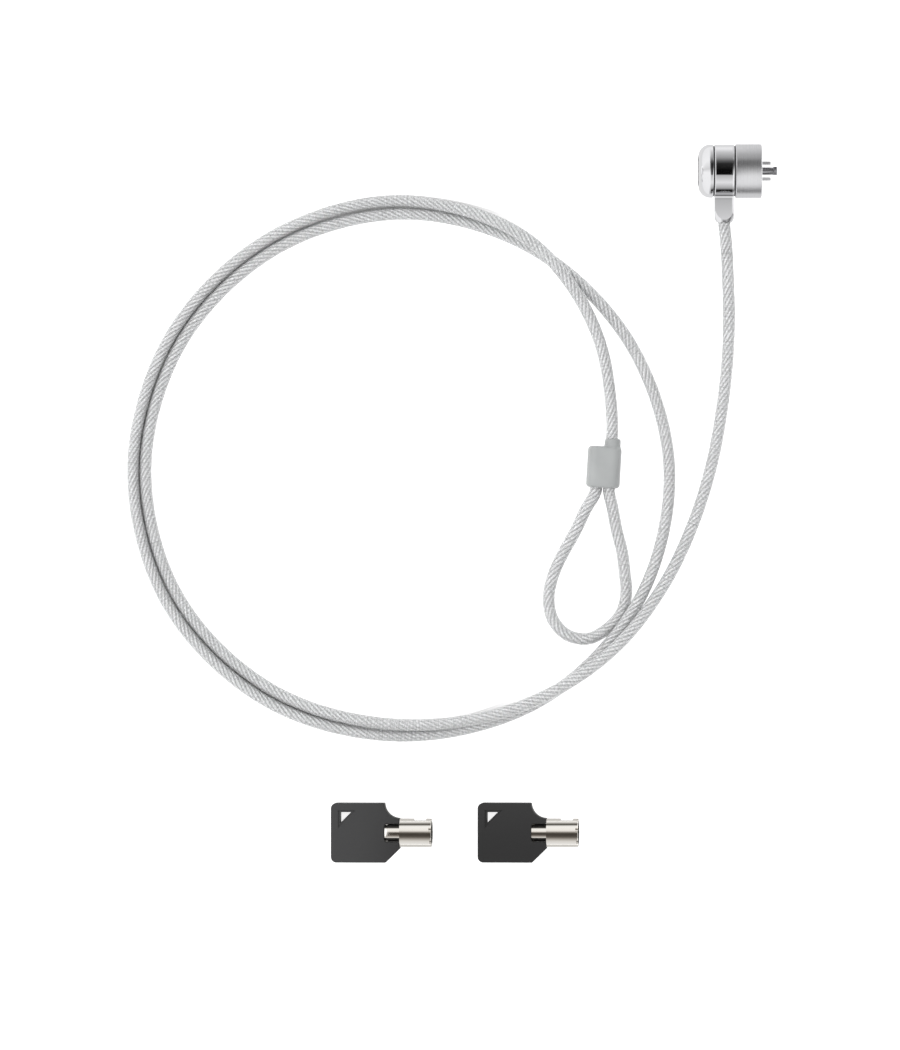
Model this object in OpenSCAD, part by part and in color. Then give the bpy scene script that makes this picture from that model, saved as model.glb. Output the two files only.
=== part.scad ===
// Laptop cable lock: lock head, swivelling cable ring, coated steel cable and two keys.
// +X runs along the lock's axis out of the nose and +Z is up, all in millimetres.
// The origin is where the lock's axis meets the front face of the lock body.

/* [Lock head] */
// Length of the front lock body
body_len = 9.4; // [8.6:0.1:14]
// Thickness of the wall behind the front face
front_wall = 2; // [1.4:0.1:2.6]
// Chamfer on the body's edges
body_chamfer = 0.3; // [0.1:0.05:0.6]
// Wall of the sleeve that the ring turns on
hub_wall = 1.5; // [1:0.05:2.5]
// Length of the rear dome
dome_len = 5.3; // [4.8:0.1:8]
// How much smaller the dome is than the body
dome_step = 0.2; // [0:0.05:0.6]
// Radius of the dome's rounded edge
dome_round = 4.2; // [2:0.1:5.2]
// Thickness of the dome's end wall
dome_wall = 1.6; // [1:0.1:2.4]

/* [Cable ring] */
// Space for the ring between the body and the dome
ring_space = 8; // [7:0.1:11]
// Wall of the ring round its sleeve
ring_wall = 1.55; // [1:0.05:3]
// How much smaller the ring is than the body
ring_step = 0.3; // [0:0.05:0.8]
// Thickness of each nylon washer beside the ring
washer_t = 0.3; // [0.2:0.05:0.6]
// How far the washers lie below the ring's surface
washer_recess = 0.5; // [0.2:0.05:1]
// Metal beside the cable in the tab
tab_side = 1.25; // [1:0.05:2]
// Metal over and under the cable in the tab
tab_cheek = 1.1; // [0.8:0.05:2]
// Length of the tab outside the ring
tab_len = 8.95; // [8:0.05:14]
// Length of the tab's curved end
tab_nose = 5.8; // [4:0.1:7]
// Metal beside the cable at the tab's tip
tab_tip_side = 0.4; // [0.2:0.05:0.8]

/* [Lock cylinder] */
// Wall of the lock cylinder
barrel_wall = 1.05; // [0.8:0.05:2]
// Radial space round the key tube in the keyway
key_gap = 0.3; // [0.15:0.05:0.5]
// Radial space between the keyway's post and the key tube
post_gap = 0.2; // [0.1:0.05:0.4]
// How far the post's end lies inside the dome's face
post_recess = 0.9; // [0.4:0.1:2]
// Number of pin stacks
pin_count = 7; // [5:1:8]
// Diameter of the tumbler pins
pin_d = 1.2; // [1:0.05:1.4]
// Length of the fixed pin chamber
chamber_len = 5.4; // [5:0.1:6]
// Length of the turning pin chamber
rotor_len = 5; // [4.4:0.1:5.4]
// Length of the driver pins
driver_len = 2; // [1.6:0.1:2.4]
// Wire diameter of the pin springs
spring_wire = 0.2; // [0.15:0.01:0.25]
// Turns in each pin spring
spring_turns = 4; // [3:1:6]

/* [T-bar] */
// Metal between the spindle and each guide tongue
tongue_web = 0.45; // [0.3:0.05:0.8]
// Diameter of the spindle outside the face
neck_d = 2.7; // [2.2:0.1:2.9]
// Distance from the face to the crossbar
neck_len = 4.2; // [3.4:0.1:5]
// Thickness of the crossbar
bar_t = 1.4; // [1:0.1:1.8]
// Width of the crossbar
bar_w = 2.8; // [2.4:0.1:2.9]
// Length of the crossbar
bar_len = 6.6; // [6:0.1:6.8]
// Span over the two guide tongues
tongue_span = 6.8; // [6.4:0.1:7]
// Thickness of each guide tongue
tongue_t = 1.1; // [0.8:0.1:1.2]
// Width of each guide tongue
tongue_w = 2.7; // [2:0.1:2.9]
// Length of the guide tongues outside the face
tongue_len = 3.4; // [2.6:0.1:4]

/* [Cable] */
// Outside diameter of the coated cable
cable_d = 4.4; // [3.4:0.1:5.4]
// Thickness of the coating on the steel rope
coating_t = 0.5; // [0.3:0.05:0.8]
// Wall of the end stop crimped on the rope in the tab
stop_wall = 0.9; // [0.6:0.05:1.2]

/* [Loop sleeve] */
// Wall of the ferrule round the cable
ferrule_wall = 0.75; // [0.5:0.05:1.5]
// Length of the sleeve without its collar
sleeve_len = 15; // [12:0.1:20]
// Length of the collar over the main cable
collar_len = 3; // [1:0.1:4]
// Wall of the collar
collar_wall = 1.3; // [0.8:0.1:1.6]
// Wall of the sleeve over the ferrule
sleeve_wall = 0.9; // [0.6:0.1:1.2]

/* [Keys] */
// Length of the key head
head_len = 24.8; // [24:0.1:32]
// Width of the key head
head_w = 21.5; // [20:0.1:28]
// Thickness of the key head
head_t = 6.6; // [5.5:0.1:7.4]
// Corner radius of the key head
head_round = 2; // [1:0.1:3]
// How far the head's arms stand beyond the tube's side
arm_step = 0.1; // [0:0.05:1]
// Length of the slanted cut on the head's other side
slant_len = 5.2; // [3:0.1:7]
// Depth of the notch that shows the shank
notch_len = 5.4; // [4:0.1:7]
// Leg of the triangular ring hole
ring_hole = 4; // [3:0.1:4.6]
// Outside diameter of the key tube
tube_d = 10.3; // [8.5:0.1:12.4]
// Wall of the key tube
tube_wall = 1.15; // [1:0.05:1.6]
// Length of the key tube outside the head
tube_len = 11.5; // [11:0.1:13]
// Diameter of the shank between head and tube
shank_d = 6.4; // [5.6:0.1:6.4]
// Distance between the two keys
key_pitch = 52.9; // [42:0.1:70]

/* [Hidden] */

fine = 96;           // facets on turned surfaces
slip = 0.03;         // radial clearance of pieces fixed together
running = 0.05;      // radial clearance of pieces that turn or slide
end_play = 0.1;      // axial clearance of pieces that turn
through = 1;         // how far a cut runs past a face

// Lock head, by radius and by distance behind the front face.
tube_bore_d = tube_d - 2 * tube_wall;
post_d = tube_bore_d - 2 * post_gap;
barrel_bore_r = tube_d / 2 + key_gap;
barrel_d = 2 * (barrel_bore_r + barrel_wall);
barrel_r = barrel_d / 2 - slip;
hub_r = barrel_d / 2 + hub_wall;
ring_r = hub_r + ring_wall;
body_r = ring_r + ring_step / 2;
body_d = 2 * body_r;
dome_r = body_r - dome_step / 2;
dome_front = body_len + ring_space;
lock_len = dome_front + dome_len;
hub_seat = 1.6;                               // length of hub held in the dome
hub_back = dome_front + hub_seat;
barrel_back = lock_len - dome_wall;
table_z = -body_r;

// Stack inside the barrel, from the front wall back.
thrust_t = 0.5;
flange_t = 0.7;
thrust_front = front_wall + 0.05;
flange_front = thrust_front + thrust_t + end_play;
chamber_front = flange_front + flange_t + end_play;
chamber_back = chamber_front + chamber_len;
rotor_front = chamber_back + running;
rotor_back = rotor_front + rotor_len;
post_back = lock_len - post_recess;
chamber_r = barrel_bore_r - slip;
rotor_r = barrel_bore_r - running;
pin_circle_r = (tube_d + tube_bore_d) / 4;
pin_r = pin_d / 2;
pin_hole_r = pin_r + running;
key_pin_out = [0.4, 0.9, 0.6, 1.1, 0.3, 0.8, 0.5, 1.0];
spindle_r = tongue_span / 2 - tongue_t - tongue_web;
flange_r = spindle_r + 1.55;
thrust_r = barrel_bore_r - key_gap;
spindle_tail = rotor_front + 3.6;
drive_pin_x = rotor_front + 2;
drive_pin_r = 0.6;
drive_pin_in = 3.2;
gap_turn = 180;                               // the side opposite the first pin stack
barrel_pin_r = 0.7;
chamber_pin_x = chamber_front + chamber_len / 2;
spring_seat = 0.8;                            // end wall under the pin springs
spring_front = chamber_front + spring_seat;
spring_back = chamber_back - driver_len;
nib_slot_w = 2.4;

// Ring and tab.
ring_len = ring_space - 2 * washer_t - 2 * end_play;
ring_x = -body_len - ring_space / 2;
ring_edge = 0.4;
tab_w = cable_d + 2 * tab_side;
tab_t = cable_d + 2 * tab_cheek;
tab_tip_w = cable_d + 2 * tab_tip_side;
tab_reach = ring_r + tab_len;
rope_d = cable_d - 2 * coating_t;
stop_r = rope_d / 2 + stop_wall;
stop_gap = 0.65;                              // space between the stop and the hub
stop_seat = ring_r + 2.9;                     // where the stop bears, from the lock's axis
stop_len = stop_seat - hub_r - stop_gap;
jacket_seat = stop_seat + 1.1;                // where the coating ends, from the lock's axis

// Cable route. Heights are above where the cable lies on the table.
lie_z = table_z + cable_d / 2;
exit_lift = -lie_z;
lead = [
    [ring_x, -tab_reach, exit_lift],
    [-12.6, -27, 7.3],
    [-12, -38, 5.8],
    [-11.5, -52, 3.4],
    [-12, -68, 1.2],
    [-14, -86, 0.2],
    [-17.5, -105, 0.2],
    [-24, -126, 1.6],
    [-35, -149, 4.6],
    [-51.5, -170.5, 7.0]
];
coil_centre = [-128.5, -106];
coil_start = -60;
coil_step = -30;
coil_turns = [
    [97, 5.0], [93.5, 2.9], [94, 0.2], [94.5, 0], [93.5, 0], [92, 0],
    [91, 0], [91, 0], [91, 0], [92.5, 0], [95.5, 0.3], [97.5, 3.6],
    [98, 0.6], [97.5, 0], [98.5, 0], [99, 0], [98, 0], [96.5, 0],
    [95.5, 0], [95.5, 0.8], [92.5, 4.6], [82.5, 2.4]
];
tail = [[-54.5, -79, 1.6]];
sleeve_centre = [-56.6, -106.5];
sleeve_turn = -3.3;
lane_wall = 0.2;                              // metal left between the ferrule's two lanes
lane = (cable_d + lane_wall) / 2 + running;   // half the distance between the lanes
loop = [
    [-53.5, -121, 1.1], [-52, -129, 0.4], [-50, -137, 0], [-49, -145, 0], [-48.5, -152.5, 0],
    [-50.5, -159.5, 0], [-55.5, -165, 0], [-62.5, -168.5, 0], [-70, -167, 0], [-75, -161.5, 0],
    [-76.5, -154, 0], [-75, -146, 0], [-71.5, -138, 0], [-67, -130, 0.4], [-63, -121.5, 1.1]
];
sleeve_w = 2 * lane + cable_d + 2 * (ferrule_wall + sleeve_wall);
sleeve_t = cable_d + 2 * (ferrule_wall + sleeve_wall);
collar_d = cable_d + 2 * collar_wall;
sleeve_lift = sleeve_t / 2 - cable_d / 2;
ferrule_half = sleeve_len / 2 - sleeve_wall;
flat_inset = 0.02;

function coil_point(i) =
    let (a = coil_start + coil_step * i, row = coil_turns[i])
    [coil_centre.x + row[0] * cos(a), coil_centre.y + row[0] * sin(a), row[1]];
function lane_point(side, along) =
    [sleeve_centre.x + side * lane * cos(sleeve_turn) - along * sin(sleeve_turn),
     sleeve_centre.y + side * lane * sin(sleeve_turn) + along * cos(sleeve_turn),
     sleeve_lift];

// A smooth curve through the points. Its slope at a point is the mean of the two spans'
// slopes, in which the shorter span counts more.
function span(p, i) = norm(p[i + 1] - p[i]);
function slope(p, i) =
    let (n = len(p) - 1)
    i == 0 ? (p[1] - p[0]) / span(p, 0)
        : i == n ? (p[n] - p[n - 1]) / span(p, n - 1)
        : let (a = span(p, i - 1), b = span(p, i))
            ((p[i] - p[i - 1]) * b / a + (p[i + 1] - p[i]) * a / b) / (a + b);
function curve_at(p, i, t) =
    let (d = span(p, i))
    p[i] * (1 - 3 * t * t + 2 * t * t * t) + p[i + 1] * (3 * t * t - 2 * t * t * t)
        + slope(p, i) * d * (t - 2 * t * t + t * t * t) + slope(p, i + 1) * d * (t * t * t - t * t);

sleeve_top = sleeve_len / 2 + collar_len;
sleeve_bottom = -sleeve_len / 2;
route_points = concat(
    lead,
    [for (i = [0 : len(coil_turns) - 1]) coil_point(i)],
    tail,
    [for (at = [sleeve_top + 1.5, sleeve_top - 2, sleeve_bottom + 2, sleeve_bottom - 1]) lane_point(1, at)],
    loop,
    [for (at = [sleeve_bottom - 1, sleeve_bottom + 2, sleeve_len / 2 - 2]) lane_point(-1, at)]
);
// A span longer than this gets a ring at its middle too.
long_span = 22;
lifted = [for (i = [0 : len(route_points) - 1])
    each i < len(route_points) - 1 && span(route_points, i) > long_span
        ? [route_points[i], curve_at(route_points, i, 0.5)]
        : [route_points[i]]];
route = [for (p = lifted) [p.x, p.y, lie_z + max(0, p.z)]];
cable_sides = 8;

// Key, in its own frame: x from the head's end to the mouth, y across the head.
tube_start = head_len + 0.05;
key_at = [-154.6, -238.35, table_z];
key_tilt = atan((tube_d - head_t) / 2 / tube_start);
arm_gap = shank_d / 2 + 0.1;
shoulder_r = head_w / 2 - tube_d / 2 - arm_step;
slant_rise = head_w / 2 - tube_d / 2 - 0.5;
ring_hole_corner = [3.3, head_w / 2 - 3.3];
pocket_edge = 0.7;
pocket_depth = 0.5;
tube_r = tube_d / 2;
tube_bore_r = tube_bore_d / 2;
nib_len = 2;
nib_notch_len = 4.4;
nib_notch = 0.75;
shank_seat = 3.6;
tang_from = 10;
tang_w = 6;
tang_t = 2.6;

// ---------- helpers ----------

// Turns a child so that its own Z lies along +X, starting x behind the front face.
module axial(x) {
    translate([-x, 0, 0]) rotate([0, 90, 0]) children();
}

// A disc or tube along the lock's axis between two distances behind the face.
module turned(from, to, r, bore = 0, edge = 0) {
    axial(to) difference() {
        rotate_extrude($fn = fine) polygon([
            [0, 0], [r - edge, 0], [r, edge], [r, to - from - edge], [r - edge, to - from], [0, to - from]
        ]);
        if (bore > 0)
            translate([0, 0, -through]) cylinder(r = bore, h = to - from + 2 * through, $fn = fine);
    }
}

// A plain bore cut along the lock's axis.
module axial_bore(from, to, r) {
    axial(to) cylinder(r = r, h = to - from, $fn = fine);
}

// Places a child at each pin stack; the first one is on the +Y side.
module pin_stacks() {
    for (i = [0 : pin_count - 1]) rotate([i * 360 / pin_count, 0, 0])
        translate([0, pin_circle_r, 0]) children();
}

// A pin across the lock, on the side opposite the first pin stack.
module cross_pin(x, from_r, to_r, r) {
    rotate([gap_turn, 0, 0]) translate([-x, from_r, 0]) rotate([-90, 0, 0])
        cylinder(r = r, h = to_r - from_r, $fn = 48);
}

function unit(v) = v / norm(v);
function along(p, i) = unit(p[min(i + 1, len(p) - 1)] - p[max(i - 1, 0)]);
function side_of(t) = unit(cross([0, 0, 1], t));

// One ring of points round the route; flats face down and sideways.
function ring_at(p, i, r) =
    let (t = along(p, i), s = side_of(t), u = cross(t, s))
    [for (k = [0 : cable_sides - 1])
        let (a = (k + 0.5) * 360 / cable_sides)
        p[i] + r * (cos(a) * s + sin(a) * u)];

function wall_faces(rings, first, flip) =
    [for (i = [0 : rings - 2], k = [0 : cable_sides - 1])
        let (a = first + i * cable_sides + k, b = first + i * cable_sides + (k + 1) % cable_sides)
        flip ? [a, a + cable_sides, b + cable_sides, b] : [a, b, b + cable_sides, a + cable_sides]];

// A solid rope swept along the points.
module rope(p, r) {
    n = len(p);
    last = (n - 1) * cable_sides;
    polyhedron(
        points = [for (i = [0 : n - 1]) each ring_at(p, i, r)],
        faces = concat(wall_faces(n, 0, true),
            [[for (k = [0 : cable_sides - 1]) k], [for (k = [cable_sides - 1 : -1 : 0]) last + k]]),
        convexity = 10);
}

// A hollow tube swept along the points.
module tube(p, r, bore) {
    n = len(p);
    inner = n * cable_sides;
    last = (n - 1) * cable_sides;
    polyhedron(
        points = concat([for (i = [0 : n - 1]) each ring_at(p, i, r)],
            [for (i = [0 : n - 1]) each ring_at(p, i, bore)]),
        faces = concat(wall_faces(n, 0, true), wall_faces(n, inner, false),
            [for (k = [0 : cable_sides - 1])
                let (j = (k + 1) % cable_sides) [k, j, inner + j, inner + k]],
            [for (k = [0 : cable_sides - 1])
                let (j = (k + 1) % cable_sides) [last + j, last + k, last + inner + k, last + inner + j]]),
        convexity = 10);
}

// ---------- lock head ----------

module lock_body() {
    color("silver") difference() {
        union() {
            turned(0, body_len, body_r, edge = body_chamfer);
            turned(body_len - 1, hub_back, hub_r);
        }
        axial_bore(front_wall, hub_back + through, barrel_d / 2);
        axial_bore(-through, front_wall + through, spindle_r + running);
        guide_tongue_shape(slip, front_wall + through);
        cross_pin(-ring_x, 0, hub_r + through, barrel_pin_r);
    }
}

module rear_dome() {
    color("gainsboro") axial(lock_len) difference() {
        rotate_extrude($fn = fine) intersection() {
            square([dome_r, dome_len]);
            union() {
                translate([0, dome_round]) square([dome_r, dome_len]);
                square([dome_r - dome_round, dome_len]);
                translate([dome_r - dome_round, dome_round]) circle(r = dome_round, $fn = fine);
            }
        }
        translate([0, 0, -through]) cylinder(r = barrel_bore_r, h = dome_len + 2 * through, $fn = fine);
        translate([0, 0, dome_wall]) cylinder(r = barrel_d / 2, h = dome_len, $fn = fine);
        translate([0, 0, dome_len - hub_seat]) cylinder(r = hub_r + slip, h = dome_len, $fn = fine);
        keyway_slot(dome_wall + through, -through);
    }
}

module washer(from) {
    color("dimgray") turned(from, from + washer_t, ring_r - washer_recess, hub_r + slip);
}
module front_washer() {
    washer(body_len);
}
module rear_washer() {
    washer(dome_front - washer_t);
}

// The slot that lets the key's nib in, along the +Y side.
module keyway_slot(len, from) {
    translate([0, 0, from]) linear_extrude(len)
        translate([-nib_slot_w / 2, 0]) square([nib_slot_w, barrel_bore_r + 0.6]);
}

module lock_barrel() {
    color("khaki") difference() {
        turned(chamber_front, barrel_back, barrel_r, barrel_bore_r);
        axial(barrel_back) keyway_slot(barrel_back - rotor_back + through, -through);
        cross_pin(-ring_x, barrel_bore_r - through, hub_r, barrel_pin_r);
        cross_pin(chamber_pin_x, 0, barrel_r + through, drive_pin_r + slip);
    }
}

// A pin through the hub's wall that keeps the barrel in.
module barrel_pin() {
    color("gray") cross_pin(-ring_x, rotor_r + 0.1, hub_r - 0.1, barrel_pin_r - slip);
}

module driver_chamber() {
    color("goldenrod") difference() {
        turned(chamber_front, chamber_back, chamber_r, spindle_r + running);
        pin_stacks() axial_bore(spring_front, chamber_back + through, pin_hole_r);
        cross_pin(chamber_pin_x, spindle_r + 0.7, chamber_r + through, drive_pin_r + slip);
    }
}

module chamber_pin() {
    color("gray") cross_pin(chamber_pin_x, spindle_r + 0.8, barrel_r, drive_pin_r);
}

module driver_pins() {
    color("darkgoldenrod") pin_stacks()
        axial_bore(chamber_back - driver_len, chamber_back, pin_r);
}

module pin_springs() {
    steps = 6;
    spring_r = pin_r - spring_wire / 2;
    span = spring_back - spring_front - spring_wire - 0.06;
    coil = [for (i = [0 : spring_turns * steps])
        [-spring_back + spring_wire / 2 + 0.03 + span * i / (spring_turns * steps),
            spring_r * cos(i * 360 / steps), spring_r * sin(i * 360 / steps)]];
    color("lightgray") pin_stacks() spring_wire_sweep(coil, spring_wire / 2);
}

// A fine wire swept along the points, with four sides.
module spring_wire_sweep(p, r) {
    n = len(p);
    sides = 4;
    points = [for (i = [0 : n - 1])
        let (out = unit([0, p[i].y, p[i].z]), t = along(p, i), u = unit(cross(t, out)))
        for (k = [0 : sides - 1]) p[i] + r * (cos(k * 90) * out + sin(k * 90) * u)];
    faces = concat(
        [for (i = [0 : n - 2], k = [0 : sides - 1])
            let (a = i * sides + k, b = i * sides + (k + 1) % sides)
            [a, b, b + sides, a + sides]],
        [[3, 2, 1, 0], [for (k = [0 : sides - 1]) (n - 1) * sides + k]]);
    polyhedron(points = points, faces = faces, convexity = 6);
}

module thrust_washer() {
    color("gold") turned(thrust_front, thrust_front + thrust_t, thrust_r, spindle_r + running);
}

// The two tongues beside the T-bar, grown by a clearance when they are cut.
module guide_tongue_shape(grow, back) {
    for (s = [-1, 1])
        translate([-back, s * (tongue_span - tongue_t) / 2 - tongue_t / 2 - grow, -tongue_w / 2 - grow])
            cube([back + tongue_len, tongue_t + 2 * grow, tongue_w + 2 * grow]);
}

module guide_tongues() {
    color("silver") intersection() {
        guide_tongue_shape(0, front_wall);
        // The free ends are rounded like the end of a rod.
        translate([tongue_len - tongue_w, 0, 0]) union() {
            rotate([90, 0, 0]) cylinder(r = tongue_w, h = body_d, center = true, $fn = fine);
            translate([-body_d, -body_r, -tongue_w]) cube([body_d, body_d, 2 * tongue_w]);
        }
    }
}

// ---------- core ----------

module pin_rotor() {
    color("goldenrod") difference() {
        union() {
            turned(rotor_front, rotor_back, rotor_r);
            turned(rotor_back - through, post_back, post_d / 2, edge = 0.3);
        }
        pin_stacks() axial_bore(rotor_front - through, rotor_back + through, pin_hole_r);
        axial_bore(rotor_front - through, spindle_tail, spindle_r + slip);
        cross_pin(drive_pin_x, -drive_pin_in, rotor_r + through, drive_pin_r + slip);
    }
}

module key_pins() {
    color("darkgoldenrod") for (i = [0 : pin_count - 1]) rotate([i * 360 / pin_count, 0, 0])
        translate([0, pin_circle_r, 0])
            turned(rotor_front, rotor_back + key_pin_out[i], pin_r, edge = 0.15);
}

module t_bar_spindle() {
    color("dimgray") difference() {
        union() {
            turned(-neck_len - bar_t / 2, spindle_tail - 0.1, neck_d / 2);
            turned(0, spindle_tail - 0.1, spindle_r);
            turned(flange_front, flange_front + flange_t, flange_r);
            intersection() {
                turned(-neck_len - bar_t, -neck_len, bar_len / 2, edge = 0.3);
                translate([neck_len, -bar_w / 2, -bar_len]) cube([bar_t, bar_w, 2 * bar_len]);
            }
        }
        cross_pin(drive_pin_x, -drive_pin_in, rotor_r, drive_pin_r + slip);
    }
}

module drive_pin() {
    color("gray") cross_pin(drive_pin_x, 0.1 - drive_pin_in, rotor_r - 0.1, drive_pin_r);
}

// ---------- ring and cable ----------

// The tab's outline: straight sides, then two long curves that narrow it to its tip.
// Beside the body and the dome it is no wider than the ring.
module tab_outline() {
    half = tab_w / 2;
    in = half - tab_tip_w / 2;
    curve = (in * in + tab_nose * tab_nose) / (2 * in);
    root_w = min(tab_w, ring_len);
    shoulder = body_r + end_play;
    translate([-root_w / 2, -shoulder - slip]) square([root_w, shoulder + slip]);
    translate([-half, -tab_reach + tab_nose]) square([tab_w, tab_reach - tab_nose - shoulder]);
    translate([0, -tab_reach + tab_nose]) intersection() {
        translate([-half, -tab_nose]) square([tab_w, tab_nose]);
        translate([curve - half, 0]) circle(r = curve, $fn = fine);
        translate([half - curve, 0]) circle(r = curve, $fn = fine);
    }
}

module cable_ring() {
    color("gainsboro") difference() {
        union() {
            turned(-ring_x - ring_len / 2, -ring_x + ring_len / 2, ring_r, edge = ring_edge);
            translate([ring_x, 0, -tab_t / 2]) linear_extrude(tab_t) tab_outline();
        }
        axial_bore(body_len - through, dome_front + through, hub_r + running);
        translate([ring_x, 0, 0]) rotate([90, 0, 0]) {
            cylinder(r = stop_r + slip, h = stop_seat, $fn = 48);
            cylinder(r = rope_d / 2 + running, h = tab_reach, $fn = 48);
            translate([0, 0, jacket_seat]) cylinder(r = cable_d / 2 + running, h = tab_reach, $fn = 48);
        }
    }
}

module cable_stop() {
    color("darkgray") translate([ring_x, 0, 0]) rotate([90, 0, 0]) difference() {
        translate([0, 0, stop_seat - stop_len]) cylinder(r = stop_r, h = stop_len, $fn = 48);
        cylinder(r = rope_d / 2 + running, h = tab_reach, $fn = 48);
    }
}

module steel_rope() {
    color("lightgray") rope(concat([[ring_x, -(stop_seat - stop_len + 0.1), 0]], route), rope_d / 2);
}

module cable_jacket() {
    color("whitesmoke") tube(concat([[ring_x, -jacket_seat, 0]], route), cable_d / 2, rope_d / 2 + slip);
}

// ---------- loop sleeve ----------

// Places a child at the sleeve, with its own Y along the lanes.
module at_sleeve() {
    translate([sleeve_centre.x, sleeve_centre.y, lie_z + sleeve_lift]) rotate([0, 0, sleeve_turn]) children();
}

// A bar with round sides along Y. Its flats lie a hair inside the round sides.
module flat_bar(w, t, from, to) {
    for (s = [-1, 1]) translate([s * (w - t) / 2, from, 0]) rotate([-90, 0, 0])
        cylinder(d = t, h = to - from, $fn = 64);
    translate([-(w - t) / 2, from, -t / 2 + flat_inset])
        cube([w - t, to - from, t - 2 * flat_inset]);
}

module lane_holes() {
    for (s = [-1, 1]) translate([s * lane, -sleeve_len, 0]) rotate([-90, 0, 0])
        cylinder(r = cable_d / 2 + running, h = 3 * sleeve_len, $fn = 48);
}

module crimp_ferrule() {
    color("darkgray") at_sleeve() difference() {
        flat_bar(sleeve_w - 2 * sleeve_wall, sleeve_t - 2 * sleeve_wall, -ferrule_half, ferrule_half);
        lane_holes();
    }
}

module ferrule_sleeve() {
    color("lightslategray") at_sleeve() difference() {
        union() {
            flat_bar(sleeve_w, sleeve_t, -sleeve_len / 2, sleeve_len / 2);
            translate([lane, 0, 0]) rotate([-90, 0, 0])
                cylinder(d = collar_d, h = sleeve_len / 2 + collar_len, $fn = 64);
        }
        flat_bar(sleeve_w - 2 * sleeve_wall + 2 * slip, sleeve_t - 2 * sleeve_wall + 2 * slip,
            -ferrule_half - slip, ferrule_half + slip);
        translate([lane, -sleeve_len, 0]) rotate([-90, 0, 0])
            cylinder(r = cable_d / 2 + running, h = 3 * sleeve_len, $fn = 48);
        translate([-lane, -sleeve_len, 0]) rotate([-90, 0, 0])
            cylinder(r = cable_d / 2 + running, h = sleeve_len, $fn = 48);
    }
}

// ---------- keys ----------

// Stands a child in its key's place: the head's end and the tube's near end touch the table.
module at_key(i) {
    translate([key_at.x + i * key_pitch, key_at.y, key_at.z])
        rotate([0, -key_tilt, 0]) translate([0, 0, head_t / 2]) children();
}

// Outline of the key head, with its hollow shoulder, slanted side and notch.
module head_outline() {
    top = head_w / 2;
    difference() {
        union() {
            translate([head_round, -top]) square([head_len - head_round, head_w]);
            translate([0, -top + head_round]) square([head_round, head_w - 2 * head_round]);
            for (s = [-1, 1]) translate([head_round, s * (top - head_round)]) circle(r = head_round, $fn = 48);
        }
        translate([head_len, top]) circle(r = shoulder_r, $fn = fine);
        polygon([
            [head_len - slant_len, -top - through], [head_len - slant_len, -top],
            [head_len, -top + slant_rise], [head_len + through, -top + slant_rise],
            [head_len + through, -top - through]
        ]);
        translate([head_len - notch_len, -arm_gap]) square([notch_len + through, 2 * arm_gap]);
        ring_hole_outline(0);
    }
}

module ring_hole_outline(grow) {
    leg = ring_hole + 2.4 * grow;
    polygon([
        ring_hole_corner + [-grow, grow], ring_hole_corner + [leg, grow],
        ring_hole_corner + [-grow, -leg]
    ]);
}

module key_head() {
    difference() {
        translate([0, 0, -head_t / 2]) linear_extrude(head_t) head_outline();
        // The ring hole sits in a shallow pocket on both faces.
        for (s = [-1, 1]) translate([0, 0, s * head_t / 2 - pocket_depth])
            linear_extrude(2 * pocket_depth) ring_hole_outline(pocket_edge);
        translate([tang_from - slip, -tang_w / 2 - slip, -tang_t / 2 - slip])
            cube([head_len, tang_w + 2 * slip, tang_t + 2 * slip]);
    }
}

// The shank: a flat tang moulded into the head, a round neck and a plug in the tube.
module key_shank() {
    neck_from = head_len - notch_len + 0.05;
    neck = tube_start - neck_from;
    plug_r = tube_bore_r - slip;
    union() {
        translate([tang_from, -tang_w / 2, -tang_t / 2]) cube([neck_from - tang_from + 1, tang_w, tang_t]);
        translate([neck_from, 0, 0]) rotate([0, 90, 0]) rotate_extrude($fn = 64) polygon([
            [0, 0], [shank_d / 2, 0], [shank_d / 2, neck], [plug_r, neck],
            [plug_r, neck + shank_seat], [0, neck + shank_seat]
        ]);
    }
}

// The tube: a notch behind the nib, and one cut in its rim for each pin.
module key_tube() {
    translate([tube_start, 0, 0]) rotate([0, 90, 0]) difference() {
        cylinder(r = tube_r, h = tube_len - 0.05, $fn = fine);
        translate([0, 0, -through]) cylinder(r = tube_bore_r, h = tube_len + 2 * through, $fn = fine);
        translate([-tube_r, tube_r - nib_notch, tube_len - nib_len - nib_notch_len])
            cube([2 * tube_r, tube_r, nib_notch_len]);
        for (i = [0 : pin_count - 1]) rotate([0, 0, (i + 0.5) * 360 / pin_count])
            translate([0, tube_r, tube_len - 0.05 - key_pin_out[i]])
                cylinder(r = 0.8, h = 3, $fn = 32);
    }
}

module key_1_head() {
    color([0.13, 0.13, 0.14]) at_key(0) key_head();
}
module key_1_shank() {
    color("silver") at_key(0) key_shank();
}
module key_1_tube() {
    color("gainsboro") at_key(0) key_tube();
}
module key_2_head() {
    color([0.13, 0.13, 0.14]) at_key(1) key_head();
}
module key_2_shank() {
    color("silver") at_key(1) key_shank();
}
module key_2_tube() {
    color("gainsboro") at_key(1) key_tube();
}

lock_body();
rear_dome();
front_washer();
rear_washer();
lock_barrel();
barrel_pin();
driver_chamber();
chamber_pin();
driver_pins();
pin_springs();
thrust_washer();
guide_tongues();
pin_rotor();
key_pins();
t_bar_spindle();
drive_pin();
cable_ring();
cable_stop();
steel_rope();
cable_jacket();
crimp_ferrule();
ferrule_sleeve();
key_1_head();
key_1_shank();
key_1_tube();
key_2_head();
key_2_shank();
key_2_tube();
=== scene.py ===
import math

import bmesh
import bpy
import numpy as np
from mathutils import Matrix, Vector


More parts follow.
